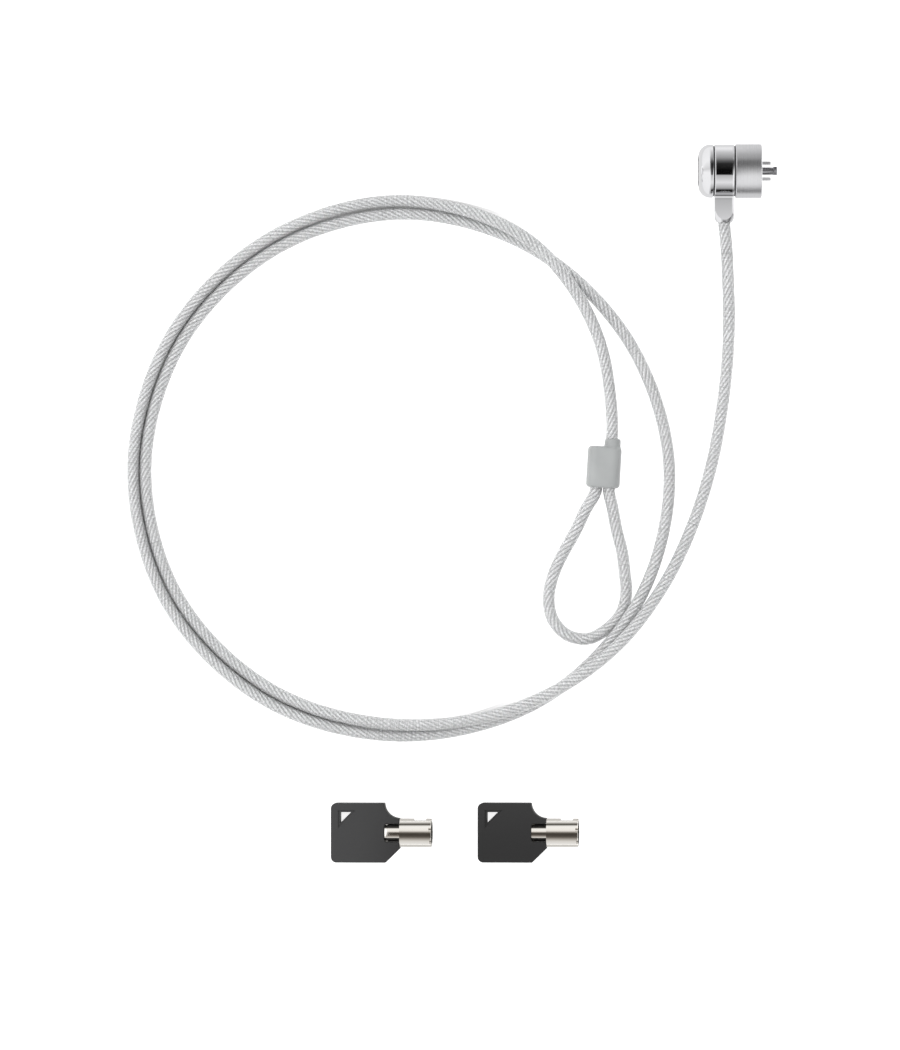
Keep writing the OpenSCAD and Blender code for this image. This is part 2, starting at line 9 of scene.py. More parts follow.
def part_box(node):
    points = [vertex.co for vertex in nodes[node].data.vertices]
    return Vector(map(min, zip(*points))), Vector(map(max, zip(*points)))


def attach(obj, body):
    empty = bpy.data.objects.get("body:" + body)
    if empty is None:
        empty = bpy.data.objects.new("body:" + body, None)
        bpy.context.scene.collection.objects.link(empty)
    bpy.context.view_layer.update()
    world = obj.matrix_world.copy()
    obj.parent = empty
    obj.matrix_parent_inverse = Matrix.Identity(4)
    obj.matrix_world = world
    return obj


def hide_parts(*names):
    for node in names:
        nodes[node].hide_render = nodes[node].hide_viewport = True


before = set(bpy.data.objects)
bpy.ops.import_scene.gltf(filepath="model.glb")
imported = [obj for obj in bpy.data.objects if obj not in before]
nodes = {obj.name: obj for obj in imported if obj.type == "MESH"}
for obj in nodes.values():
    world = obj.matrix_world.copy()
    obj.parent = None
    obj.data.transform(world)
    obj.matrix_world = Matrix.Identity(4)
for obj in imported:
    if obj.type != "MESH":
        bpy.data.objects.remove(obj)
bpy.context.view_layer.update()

MM = 0.001

# ---------- camera ----------
# A long lens looks straight down on the lock, the coiled cable and the two keys.

view_centre = Vector((-112.1 * MM, -127.4 * MM, 0))
view_height = 378 * MM
bpy.ops.object.camera_add()
camera = bpy.context.object
camera.name = "camera"
camera.data.lens = 250
camera.data.sensor_width = 36
camera.location = view_centre
camera.location.z = view_height * camera.data.lens / camera.data.sensor_width
bpy.context.scene.camera = camera
bpy.context.scene.view_settings.view_transform = "Standard"

# ---------- steel rope ----------
# Galvanised wire rope: six strands of bright drawn wires laid right-handed round a core.
# The strands show as diagonal ridges and the wires as a finer grain along them.

lie_z = -7.5                # height of the cable's middle where it lies on the table
exit_lift = 7.5             # the ring's tab holds the cable this much higher
# The chosen points of the line: x, y and the height over where it lies, in mm.
lead = [
    (-13.4, -18.5, exit_lift),
    (-12.6, -27, 7.3),
    (-12, -38, 5.8),
    (-11.5, -52, 3.4),
    (-12, -68, 1.2),
    (-14, -86, 0.2),
    (-17.5, -105, 0.2),
    (-24, -126, 1.6),
    (-35, -149, 4.6),
    (-51.5, -170.5, 7.0),
]
coil_centre = (-128.5, -106)
coil_start = -60            # degrees round the coil's middle
coil_step = -30
coil_turns = [              # each turn's radius and height, a step apart
    (97, 5.0), (93.5, 2.9), (94, 0.2), (94.5, 0), (93.5, 0), (92, 0),
    (91, 0), (91, 0), (91, 0), (92.5, 0), (95.5, 0.3), (97.5, 3.6),
    (98, 0.6), (97.5, 0), (98.5, 0), (99, 0), (98, 0), (96.5, 0),
    (95.5, 0), (95.5, 0.8), (92.5, 4.6), (82.5, 2.4),
]
tail = [(-54.5, -79, 1.6)]
sleeve_centre = (-56.6, -106.5)
sleeve_turn = math.radians(-3.3)
lane = 2.35                 # half the distance between the two cables in the sleeve
sleeve_lift = 1.65          # the sleeve is thicker than the cable, and lifts it
loop = [
    (-53.5, -121, 1.1), (-52, -129, 0.4), (-50, -137, 0), (-49, -145, 0), (-48.5, -152.5, 0),
    (-50.5, -159.5, 0), (-55.5, -165, 0), (-62.5, -168.5, 0), (-70, -167, 0), (-75, -161.5, 0),
    (-76.5, -154, 0), (-75, -146, 0), (-71.5, -138, 0), (-67, -130, 0.4), (-63, -121.5, 1.1),
]


def coil_point(i):
    turn = math.radians(coil_start + coil_step * i)
    radius, lift = coil_turns[i]
    return (coil_centre[0] + radius * math.cos(turn), coil_centre[1] + radius * math.sin(turn), lift)


def lane_point(side, along):
    across = side * lane
    return (
        sleeve_centre[0] + across * math.cos(sleeve_turn) - along * math.sin(sleeve_turn),
        sleeve_centre[1] + across * math.sin(sleeve_turn) + along * math.cos(sleeve_turn),
        sleeve_lift,
    )


route = (
    lead
    + [coil_point(i) for i in range(len(coil_turns))]
    + tail
    + [lane_point(1, along) for along in (12, 8.5, -5.5, -8.5)]
    + loop
    + [lane_point(-1, along) for along in (-8.5, -5.5, 5.5)]
)
route = [Vector((x, y, lie_z + max(0, lift))) * MM for x, y, lift in route]


def smooth_line(points, step):
    """Points about a step apart on a smooth curve through the given ones."""
    spans = [(b - a).length for a, b in zip(points, points[1:])]
    slopes = [(points[1] - points[0]) / spans[0]]
    for i in range(1, len(points) - 1):
        before, after = spans[i - 1], spans[i]
        slope_in = (points[i] - points[i - 1]) * after / before
        slope_out = (points[i + 1] - points[i]) * before / after
        slopes.append((slope_in + slope_out) / (before + after))
    slopes.append((points[-1] - points[-2]) / spans[-1])
    line = []
    for i, length in enumerate(spans):
        count = max(1, round(length / step))
        for t in (k / count for k in range(count)):
            line.append(
                points[i] * (1 - 3 * t**2 + 2 * t**3) + points[i + 1] * (3 * t**2 - 2 * t**3)
                + slopes[i] * length * (t - 2 * t**2 + t**3) + slopes[i + 1] * length * (t**3 - t**2)
            )
    line = np.array(line + [points[-1]])
    line[:, 2] = np.maximum(line[:, 2], lie_z * MM)
    return line


def sweep(name, centres, out, across, radius, sides):
    """A closed tube round a line of centres. out and across give each ring's two directions."""
    count = len(centres)
    turns = np.linspace(0, 2 * math.pi, sides, endpoint=False)
    rings = centres[:, None] + radius * (
        np.cos(turns)[None, :, None] * out[:, None] + np.sin(turns)[None, :, None] * across[:, None]
    )
    i, k = np.meshgrid(np.arange(count - 1), np.arange(sides), indexing="ij")
    a, b = i * sides + k, i * sides + (k + 1) % sides
    walls = np.stack([a, b, b + sides, a + sides], axis=-1).reshape(-1, 4).tolist()
    ends = [list(range(sides))[::-1], list(range((count - 1) * sides, count * sides))]
    mesh = bpy.data.meshes.new(name)
    mesh.from_pydata(rings.reshape(-1, 3).tolist(), [], walls + ends)
    lengths = np.concatenate([[0], np.cumsum(np.linalg.norm(np.diff(centres, axis=0), axis=1))])
    u = np.stack([k, k + 1, k + 1, k], axis=-1) / sides
    v = np.stack([lengths[i], lengths[i], lengths[i + 1], lengths[i + 1]], axis=-1)
    wall_uv = np.stack([u, v], axis=-1).reshape(-1)
    layer = mesh.uv_layers.new(name="along_the_line")
    layer.data.foreach_set("uv", np.concatenate([wall_uv, np.zeros(4 * sides)]))
    mesh.polygons.foreach_set("use_smooth", [True] * len(walls) + [False] * 2)
    piece = bpy.data.objects.new(name, mesh)
    bpy.context.collection.objects.link(piece)
    return piece


def unit(rows):
    return rows / np.linalg.norm(rows, axis=1, keepdims=True)


rope_d = 3.4 * MM
strands = 6
strand_lay = 15.5 * MM      # length of one full turn of a strand
strand_r = rope_d / 6
strand_sides = 8
helix_r = rope_d / 2 - strand_r
ring_step = strand_lay / 16

rope_start = Vector((-13.4, -8.9, 0)) * MM
rope_line = smooth_line([rope_start] + route, ring_step)
along = unit(np.gradient(rope_line, axis=0))
left = unit(np.cross([0, 0, 1], along))
up = np.cross(along, left)
rope_length = np.concatenate([[0], np.cumsum(np.linalg.norm(np.diff(rope_line, axis=0), axis=1))])
strand_pieces = []
for i in range(strands):
    turn = (2 * math.pi * (rope_length / strand_lay + i / strands))[:, None]
    out = np.cos(turn) * left + np.sin(turn) * up
    middle = rope_line + helix_r * out
    across = unit(np.cross(unit(np.gradient(middle, axis=0)), out))
    strand_pieces.append(sweep(f"strand_{i}", middle, out, across, strand_r, strand_sides))
bpy.ops.object.select_all(action="DESELECT")
for piece in strand_pieces:
    piece.select_set(True)
bpy.context.view_layer.objects.active = strand_pieces[0]
bpy.ops.object.join()
wire_rope = bpy.context.object
wire_rope.name = "wire_rope_strands"


def linear(hex_colour):
    """An sRGB hex colour as the linear RGBA that sockets take."""
    channels = [int(hex_colour[i:i + 2], 16) / 255 for i in (1, 3, 5)]
    return [c / 12.92 if c <= 0.04045 else ((c + 0.055) / 1.055) ** 2.4 for c in channels] + [1]


def add_node(tree, kind, inputs={}, **settings):
    """Adds a shader node. Each input is a value or the output socket that feeds it."""
    made = tree.nodes.new("ShaderNode" + kind)
    for name, value in settings.items():
        setattr(made, name, value)
    for name, value in inputs.items():
        if isinstance(value, bpy.types.NodeSocket):
            tree.links.new(value, made.inputs[name])
        else:
            made.inputs[name].default_value = value
    return made


def new_finish(name, colour, sockets):
    """A material of one Principled shader, and its node tree and shader."""
    material = bpy.data.materials.new(name)
    material.use_nodes = True
    shader = material.node_tree.nodes["Principled BSDF"]
    shader.inputs["Base Color"].default_value = linear(colour)
    for socket, value in sockets.items():
        shader.inputs[socket].default_value = value
    return material, material.node_tree, shader


# Galvanised wire: grey zinc, with fine wires side by side that dull unevenly, coloured with painted
# glints and painted shade.
wires_round = 7             # wires that show round one strand
wire_twist = 9 * MM         # length of a wire's turn round its strand
glint = 0.8 * MM            # length of wire that one glint covers
galvanised, tree, shader = new_finish("galvanised_wire", "#f4f4f4", {"Metallic": 1.0})
line_uv = add_node(tree, "UVMap", uv_map="along_the_line")
split = add_node(tree, "SeparateXYZ", {0: line_uv.outputs[0]})
twist = add_node(tree, "Math", {0: split.outputs["Y"], 1: 1 / wire_twist}, operation="MULTIPLY")
turn = add_node(tree, "Math", {0: split.outputs["X"], 1: twist.outputs[0]}, operation="SUBTRACT")
wire_turn = add_node(tree, "Math", {0: turn.outputs[0], 1: wires_round}, operation="MULTIPLY")
phase = add_node(tree, "Math", {0: wire_turn.outputs[0], 1: 2 * math.pi}, operation="MULTIPLY")
wire = add_node(tree, "Math", {0: phase.outputs[0]}, operation="COSINE")
ridge = add_node(tree, "MapRange", {
    "Value": wire.outputs[0], "From Min": -1.0, "From Max": 1.0, "To Min": -0.1, "To Max": 0.1})
which_wire = add_node(tree, "Math", {0: wire_turn.outputs[0]}, operation="ROUND")
glint_along = add_node(tree, "Math", {0: split.outputs["Y"], 1: 1 / glint}, operation="MULTIPLY")
glint_place = add_node(tree, "CombineXYZ", {"X": which_wire.outputs[0], "Y": glint_along.outputs[0]})
glints = add_node(tree, "TexNoise", {"Vector": glint_place.outputs[0], "Scale": 1.0, "Detail": 2.0})
height = add_node(tree, "Math", {0: ridge.outputs[0], 1: glints.outputs[0]}, operation="ADD")
bump = add_node(tree, "Bump", {"Height": height.outputs[0], "Strength": 0.8, "Distance": 0.15 * MM})
tree.links.new(bump.outputs[0], shader.inputs["Normal"])
# Painted light: the colour darkens in the grooves between the wires as painted shade, and brightens in
# spots as painted glints.
tint = add_node(tree, "ValToRGB", {0: height.outputs[0]})
tint.color_ramp.elements[0].color = linear("#6e7072")
tint.color_ramp.elements[0].position = 0.3
tint.color_ramp.elements[1].color = linear("#f2f3f4")
tint.color_ramp.elements[1].position = 0.68
tree.links.new(tint.outputs[0], shader.inputs["Base Color"])
dullness = add_node(tree, "MapRange", {"Value": glints.outputs[0], "To Min": 0.22, "To Max": 0.42})
tree.links.new(dullness.outputs[0], shader.inputs["Roughness"])
wire_rope.data.materials.append(galvanised)

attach(wire_rope, "cable")
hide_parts("steel_rope")

# ---------- cable jacket ----------
# A tube of clear soft vinyl extruded over the rope, smooth and glossy.
# It is clamped in the ring's tab at one end and in the loop's ferrule at the other.

cable_d = 4.4 * MM
jacket_start = Vector((-13.4, -13.55, 0)) * MM
jacket_line = smooth_line([jacket_start] + route, 2 * MM)
along = unit(np.gradient(jacket_line, axis=0))
left = unit(np.cross([0, 0, 1], along))
clear_jacket = sweep("clear_jacket", jacket_line, left, np.cross(along, left), cable_d / 2, 24)

# Plasticised PVC: clear with a milky cast, and the soft gloss of a drawn tube.
clear_vinyl, tree, shader = new_finish(
    "clear_vinyl", "#fbfbfb", {"Roughness": 0.12, "IOR": 1.5, "Transmission Weight": 0.8})
place = add_node(tree, "TexCoord")
ripple = add_node(
    tree, "TexNoise", {"Vector": place.outputs["Object"], "Scale": 1 / (1.5 * MM), "Detail": 1.0})
bump = add_node(tree, "Bump", {"Height": ripple.outputs[0], "Strength": 0.25, "Distance": 0.1 * MM})
tree.links.new(bump.outputs[0], shader.inputs["Normal"])
clear_jacket.data.materials.append(clear_vinyl)

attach(clear_jacket, "cable")
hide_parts("cable_jacket")

# ---------- loop sleeve ----------
# A soft grey vinyl boot pushed over the crimped ferrule that closes the loop.
# It is one moulding with round sides and soft edges, and a collar round the main cable.

sleeve_w, sleeve_t, sleeve_len = 12.2 * MM, 7.7 * MM, 15 * MM
sleeve_edge = 1.3 * MM
collar_d, collar_len, collar_edge = 5.8 * MM, 3 * MM, 0.8 * MM
collar_out = 0.35 * MM      # the collar's middle is this far outside the cable's
skin_grid = 0.3 * MM        # the mesh that melts the boot and its collar together
cable_gap = 0.05 * MM       # round the cable, in the sleeve and in the ring's tab


def only(piece):
    """Makes a piece the only selected object, and the active one."""
    bpy.ops.object.select_all(action="DESELECT")
    piece.select_set(True)
    bpy.context.view_layer.objects.active = piece


def finish_with(piece, kind, **settings):
    """Adds a modifier to a piece and applies it."""
    only(piece)
    made = piece.modifiers.new(kind.lower(), kind)
    for name, value in settings.items():
        setattr(made, name, value)
    bpy.ops.object.modifier_apply(modifier=made.name)


def combine(piece, other, operation="DIFFERENCE"):
    """Cuts another object out of a piece or joins it on, and removes it."""
    finish_with(piece, "BOOLEAN", object=other, operation=operation, solver="EXACT")
    bpy.data.objects.remove(other)


def new_cube(name, low, high):
    """A box between two corners, its place in its mesh."""
    bpy.ops.object.select_all(action="DESELECT")
    low, high = Vector(low), Vector(high)
    bpy.ops.mesh.primitive_cube_add(size=1, location=(low + high) / 2, scale=high - low)
    bpy.ops.object.transform_apply(location=True, rotation=True, scale=True)
    bpy.context.object.name = name
    return bpy.context.object


def new_bar(name, axis, start, end, radius, middle=(0, 0, 0), vertices=64):
    """A round bar along X, Y or Z between two places on that axis, its place in its mesh."""
    bpy.ops.object.select_all(action="DESELECT")
    place = Vector(middle)
    place["XYZ".index(axis)] += (start + end) / 2
    rotation = {"X": (0, math.pi / 2, 0), "Y": (math.pi / 2, 0, 0), "Z": (0, 0, 0)}[axis]
    bpy.ops.mesh.primitive_cylinder_add(
        vertices=vertices, radius=radius, depth=end - start, location=place, rotation=rotation)
    bpy.ops.object.transform_apply(location=True, rotation=True, scale=True)
    bpy.context.object.name = name
    return bpy.context.object


def select_where(kind, test):
    """In edit mode, selects the vertices, edges or faces that pass a test."""
    bpy.ops.mesh.select_mode(type=kind)
    bpy.ops.mesh.select_all(action="DESELECT")
    edit = bmesh.from_edit_mesh(bpy.context.object.data)
    for item in {"VERT": edit.verts, "EDGE": edit.edges, "FACE": edit.faces}[kind]:
        if test(item):
            item.select_set(True)
    edit.select_flush_mode()
    bmesh.update_edit_mesh(bpy.context.object.data)


def smooth(piece, angle=30):
    """Smooth shading that leaves the large flat and straight faces true, as a mirror needs."""
    only(piece)
    bpy.ops.object.shade_smooth_by_angle(angle=math.radians(angle))
    finish_with(piece, "WEIGHTED_NORMAL", mode="FACE_AREA", weight=100, keep_sharp=True)


sleeve_corner = Vector((sleeve_w, sleeve_len, sleeve_t)) / 2
collar_end = sleeve_len / 2 + collar_len
boot = new_cube("loop_boot", -sleeve_corner, sleeve_corner)
collar = new_bar("collar", "Y", 0, collar_end, collar_d / 2, (lane * MM + collar_out, 0, 0))
for piece, end, rounding in ((boot, sleeve_len / 2, sleeve_edge), (collar, collar_end, collar_edge)):
    only(piece)
    bpy.ops.object.mode_set(mode="EDIT")
    if piece is boot:
        select_where("EDGE", lambda edge: abs(edge.verts[0].co.y - edge.verts[1].co.y) > MM)
        bpy.ops.mesh.bevel(offset=0.45 * sleeve_t, segments=10)
    select_where("EDGE", lambda edge: any(
        all(abs(v.co.y - place) < 0.01 * MM for v in edge.verts) for place in (-end, end)))
    bpy.ops.mesh.bevel(offset=rounding, segments=5)
    bpy.ops.object.mode_set(mode="OBJECT")
combine(boot, collar, "UNION")
finish_with(boot, "REMESH", mode="VOXEL", voxel_size=skin_grid)
finish_with(boot, "SMOOTH", factor=0.5, iterations=10)
for side, reach in ((-1, 0), (1, sleeve_len)):
    opening = new_bar(
        "lane", "Y", -sleeve_len, reach, cable_d / 2 + cable_gap, (side * lane * MM, 0, 0), 48)
    combine(boot, opening)
smooth(boot, 40)
boot.data.transform(
    Matrix.Translation(Vector((*sleeve_centre, lie_z + sleeve_lift)) * MM)
    @ Matrix.Rotation(sleeve_turn, 4, "Z"))

# Moulded PVC: mid grey and matt, with the soft orange-peel skin of a dipped or moulded boot.
grey_vinyl, tree, shader = new_finish(
    "grey_vinyl", "#8f9191", {"Roughness": 0.42, "Specular IOR Level": 0.45})
place = add_node(tree, "TexCoord")
peel = add_node(
    tree, "TexNoise", {"Vector": place.outputs["Object"], "Scale": 1 / (0.6 * MM), "Detail": 3.0})
bump = add_node(tree, "Bump", {"Height": peel.outputs[0], "Strength": 0.2, "Distance": 0.06 * MM})
tree.links.new(bump.outputs[0], shader.inputs["Normal"])
cast = add_node(
    tree, "TexNoise", {"Vector": place.outputs["Object"], "Scale": 1 / (6 * MM), "Detail": 1.0})
tint = add_node(tree, "ValToRGB", {0: cast.outputs[0]})
tint.color_ramp.elements[0].color = linear("#8b8d8d")
tint.color_ramp.elements[1].color = linear("#979999")
tree.links.new(tint.outputs[0], shader.inputs["Base Color"])
boot.data.materials.append(grey_vinyl)

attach(boot, "cable")
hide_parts("ferrule_sleeve")

# ---------- cable ring ----------
# A die-cast zinc ring that swivels on the hub, polished and chrome plated. The cable comes out
# of its tab, which blends into the ring and narrows to a bevelled round nose.

ring_r, ring_len, ring_bore_r, ring_edge = 9.55 * MM, 7.2 * MM, 8.05 * MM, 0.4 * MM
ring_low, ring_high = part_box("cable_ring")
ring_x = (ring_low.x + ring_high.x) / 2
tab_w, tab_t, tab_reach = 6.9 * MM, 6.6 * MM, 18.5 * MM
tab_edge = 0.12 * MM
fillet = 1.5 * MM
fillet_steps = 8
sunk = 0.8 * MM             # how far the tab's root runs on into the ring
round_steps = 192           # facets round every polished part, fine enough for a mirror


def rim_at(place, radius, axis=0, slack=0.01 * MM):
    """A test for the edges of the circle of that radius at that place along the axis."""
    others = [i for i in range(3) if i != axis]
    return lambda edge: all(
        abs(v.co[axis] - place) < slack
        and abs(math.hypot(v.co[others[0]], v.co[others[1]]) - radius) < slack
        for v in edge.verts)


ring_front, ring_back = ring_x + ring_len / 2, ring_x - ring_len / 2
swivel_ring = new_bar("swivel_ring", "X", ring_back, ring_front, ring_r, vertices=round_steps)
bpy.ops.object.mode_set(mode="EDIT")
select_where("FACE", lambda face: len(face.verts) > 4)
bpy.ops.mesh.inset(thickness=ring_r - ring_bore_r)
bpy.ops.mesh.bridge_edge_loops()
for rim in (ring_front, ring_back):
    select_where("EDGE", rim_at(rim, ring_r))
    bpy.ops.mesh.bevel(offset=ring_edge, segments=4)
bpy.ops.object.mode_set(mode="OBJECT")

# The tab grows from a block. Its root flares along an arc that touches the tab and the ring,
# and a round ogive, turned about the cable, trims its nose.
flare_y = -math.sqrt((ring_r + fillet) ** 2 - (tab_t / 2 + fillet) ** 2)
flare_end = math.atan2(tab_t / 2 + fillet, -flare_y)
tab = new_cube("tab", (-tab_w / 2, -tab_reach, -tab_t / 2), (tab_w / 2, flare_y, tab_t / 2))
bpy.ops.object.mode_set(mode="EDIT")
select_where("FACE", lambda face: face.normal.y > 0.9)
flare = [(0, 0)]            # run towards the ring and rise off the tab
for k in range(1, fillet_steps + 1):
    turn = (math.pi / 2 - flare_end) * k / fillet_steps - math.pi / 2
    flare.append((fillet * math.cos(turn), fillet * (1 + math.sin(turn))))
flare.append((flare[-1][0] + sunk, flare[-1][1]))
for (run_before, rise_before), (run, rise) in zip(flare, flare[1:]):
    bpy.ops.mesh.extrude_region_move(TRANSFORM_OT_translate={"value": (0, run - run_before, 0)})
    bpy.ops.transform.resize(value=(1, 1, (tab_t / 2 + rise) / (tab_t / 2 + rise_before)))
bpy.ops.object.mode_set(mode="OBJECT")
ogive = [                   # y and radius, in mm
    (-8, 5.6), (-9.5, 5.6), (-13.2, 4.85), (-14.5, 4.62), (-15.2, 4.46), (-15.8, 4.27), (-16.3, 4.07),
    (-16.7, 3.86), (-17.1, 3.62), (-17.4, 3.43), (-17.8, 3.18), (-18.2, 2.94), (-18.5, 2.76)]
trim = new_bar("ogive", "Y", ogive[0][0] * MM, -5 * MM, ogive[0][1] * MM, vertices=96)
bpy.ops.object.mode_set(mode="EDIT")
select_where("FACE", lambda face: face.normal.y < -0.9)
for (last_y, last_r), (y, r) in zip(ogive, ogive[1:]):
    bpy.ops.mesh.extrude_region_move(TRANSFORM_OT_translate={"value": (0, (y - last_y) * MM, 0)})
    bpy.ops.transform.resize(value=(r / last_r, 1, r / last_r))
bpy.ops.object.mode_set(mode="OBJECT")
combine(tab, trim, "INTERSECT")
finish_with(
    tab, "BEVEL", width=tab_edge, segments=2, limit_method="ANGLE", angle_limit=math.radians(20))
tab.data.transform(Matrix.Translation((ring_x, 0, 0)))
combine(swivel_ring, tab, "UNION")
combine(swivel_ring, new_bar(
    "cable_hole", "Y", -tab_reach - MM, -ring_bore_r + 0.5 * MM, cable_d / 2 + cable_gap,
    (ring_x, 0, 0), 48))
smooth(swivel_ring, 28)

# Bright chrome over nickel: a blue-white mirror, with a faint haze where it has been handled.
chrome, tree, shader = new_finish("bright_chrome", "#f3f3f5", {"Metallic": 1.0})
place = add_node(tree, "TexCoord")
haze = add_node(
    tree, "TexNoise", {"Vector": place.outputs["Object"], "Scale": 1 / (4 * MM), "Detail": 3.0})
dullness = add_node(tree, "MapRange", {"Value": haze.outputs[0], "To Min": 0.02, "To Max": 0.07})
tree.links.new(dullness.outputs[0], shader.inputs["Roughness"])
swivel_ring.data.materials.append(chrome)

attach(swivel_ring, "cable")
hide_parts("cable_ring")

# ---------- rear dome ----------
# The lock's back cap, die cast and chrome plated like the ring, pressed on the hub.
# The keyway opens in the middle of its round back.

dome_r, dome_round, dome_edge = 9.6 * MM, 4.2 * MM, 0.3 * MM
keyway_r, dome_wall, nib_slot_w = 5.45 * MM, 1.6 * MM, 2.4 * MM
nib_slot_reach = keyway_r + 0.6 * MM
barrel_seat_r, hub_seat_r = 6.5 * MM, 8.03 * MM
dome_low, dome_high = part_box("rear_dome")
dome = new_bar("chrome_dome", "X", dome_low.x, dome_high.x, dome_r, vertices=round_steps)
bpy.ops.object.mode_set(mode="EDIT")
select_where("EDGE", rim_at(dome_low.x, dome_r))
bpy.ops.mesh.bevel(offset=dome_round, segments=24)
select_where("EDGE", rim_at(dome_high.x, dome_r))
bpy.ops.mesh.bevel(offset=dome_edge, segments=2)
bpy.ops.object.mode_set(mode="OBJECT")
for name, start, radius in (
    ("keyway", dome_low.x - MM, keyway_r),
    ("barrel_seat", dome_low.x + dome_wall, barrel_seat_r),
    ("hub_seat", dome_high.x - dome_wall, hub_seat_r),
):
    combine(dome, new_bar(name, "X", start, dome_high.x + MM, radius, vertices=96))
combine(dome, new_cube(
    "nib_slot", (dome_low.x - MM, 0, -nib_slot_w / 2),
    (dome_low.x + 2 * MM, nib_slot_reach, nib_slot_w / 2)))
smooth(dome, 28)
dome.data.materials.append(chrome)

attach(dome, "lock_head")
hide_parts("rear_dome")

# ---------- lock body and guide tongues ----------
# The front body is turned from zinc bar and nickel plated over the turning marks.
# The two tongues beside the T-bar are pressed into its nose and plated with it.

def add_lines(tree, shader, pitch, depth, low, high, axis="X"):
    """Fine lines across an axis, as a tool leaves them: small ridges that are glossy or dull."""
    place = add_node(tree, "TexCoord")
    split = add_node(tree, "SeparateXYZ", {0: place.outputs["Object"]})
    marks = add_node(
        tree, "TexNoise", {"W": split.outputs[axis], "Scale": 1 / pitch, "Detail": 2.0},
        noise_dimensions="1D")
    bump = add_node(tree, "Bump", {"Height": marks.outputs[0], "Strength": 0.2, "Distance": depth})
    tree.links.new(bump.outputs[0], shader.inputs["Normal"])
    dullness = add_node(tree, "MapRange", {"Value": marks.outputs[0], "To Min": low, "To Max": high})
    tree.links.new(dullness.outputs[0], shader.inputs["Roughness"])


# Satin nickel: a pale soft metal whose reflections are drawn out across the turning marks.
turning_pitch = 0.12 * MM
satin_nickel, tree, shader = new_finish("satin_nickel", "#dcdcde", {"Metallic": 1.0, "Anisotropic": 0.4})
add_lines(tree, shader, turning_pitch, 0.01 * MM, 0.2, 0.42)
for name in ("lock_body", "guide_tongues"):
    nodes[name].data.materials[0] = satin_nickel

# ---------- T-bar ----------
# The locking spindle: tool steel turned and milled, hardened and left in its dark bright finish.
# It turns a quarter with the key so that its crossbar hooks behind the slot.

# Hardened steel: a darker grey than the plating, with broken glints from the cutter.
hard_steel, tree, shader = new_finish("hardened_steel", "#a9a9ac", {"Metallic": 1.0})
add_lines(tree, shader, 0.2 * MM, 0.01 * MM, 0.15, 0.35)
nodes["t_bar_spindle"].data.materials[0] = hard_steel

# ---------- lock works ----------
# Inside the body: brass barrel, chamber, rotor, pins and thrust washer, with steel cross pins and
# springs, nylon washers under the ring, and the aluminium ferrule in the loop's sleeve.
# They are seen only through the keyway, or with the lock apart.

# Brass: yellow, with bright turning lines.
brass, tree, shader = new_finish("turned_brass", "#cba65c", {"Metallic": 1.0})
add_lines(tree, shader, 0.15 * MM, 0.01 * MM, 0.18, 0.35)
# Nickelled brass: paler and smoother, on the face that the key turns against.
nickelled, tree, shader = new_finish("nickelled_brass", "#cfccc4", {"Metallic": 1.0})
add_lines(tree, shader, 0.15 * MM, 0.01 * MM, 0.15, 0.3)
# Ground steel: a cool, close-grained shine.
pin_steel, tree, shader = new_finish("ground_steel", "#bcbcc0", {"Metallic": 1.0})
add_lines(tree, shader, 0.1 * MM, 0.005 * MM, 0.12, 0.3)
# Spring wire: drawn and darker, with little gloss.
spring_steel, tree, shader = new_finish("spring_wire", "#94959a", {"Metallic": 1.0})
add_lines(tree, shader, 0.1 * MM, 0.005 * MM, 0.2, 0.35)
# Dark nylon: nearly black, with a waxy sheen.
nylon, tree, shader = new_finish("dark_nylon", "#2b2b2c", {})
add_lines(tree, shader, 0.3 * MM, 0.01 * MM, 0.4, 0.6)
# Pressed aluminium: light and dull, drawn lengthways by the crimping tool.
aluminium, tree, shader = new_finish("pressed_aluminium", "#c8cbcf", {"Metallic": 1.0})
add_lines(tree, shader, 0.4 * MM, 0.02 * MM, 0.25, 0.5, "Y")
for finish, names in (
    (brass, ("lock_barrel", "driver_chamber", "driver_pins", "key_pins", "thrust_washer")),
    (nickelled, ("pin_rotor",)),
    (pin_steel, ("barrel_pin", "chamber_pin", "drive_pin", "cable_stop")),
    (spring_steel, ("pin_springs",)),
    (nylon, ("front_washer", "rear_washer")),
    (aluminium, ("crimp_ferrule",)),
):
    for name in names:
        nodes[name].data.materials[0] = finish

# ---------- key heads ----------
# Black ABS moulded over the key's flat tang, with rounded edges and a fine spark-eroded grain.
# Each has a hollow shoulder, a slanted corner, a notch at the shank and a corner hole for a ring.

head_len, head_w, head_t, head_round = 24.8 * MM, 21.5 * MM, 6.6 * MM, 2 * MM
edge_round = 0.8 * MM
tube_r, tube_bore_r, shank_r = 5.15 * MM, 4.0 * MM, 3.2 * MM
shoulder_r = head_w / 2 - tube_r - 0.1 * MM
slant_len, slant_rise = 5.2 * MM, head_w / 2 - tube_r - 0.5 * MM
notch_len, notch_half, notch_round = 5.4 * MM, shank_r + 0.1 * MM, 1.0 * MM
hole_corner, hole_leg = Vector((3.3 * MM, head_w / 2 - 3.3 * MM, 0)), 4 * MM
hole_border, hole_border_depth = 0.7 * MM, 0.5 * MM

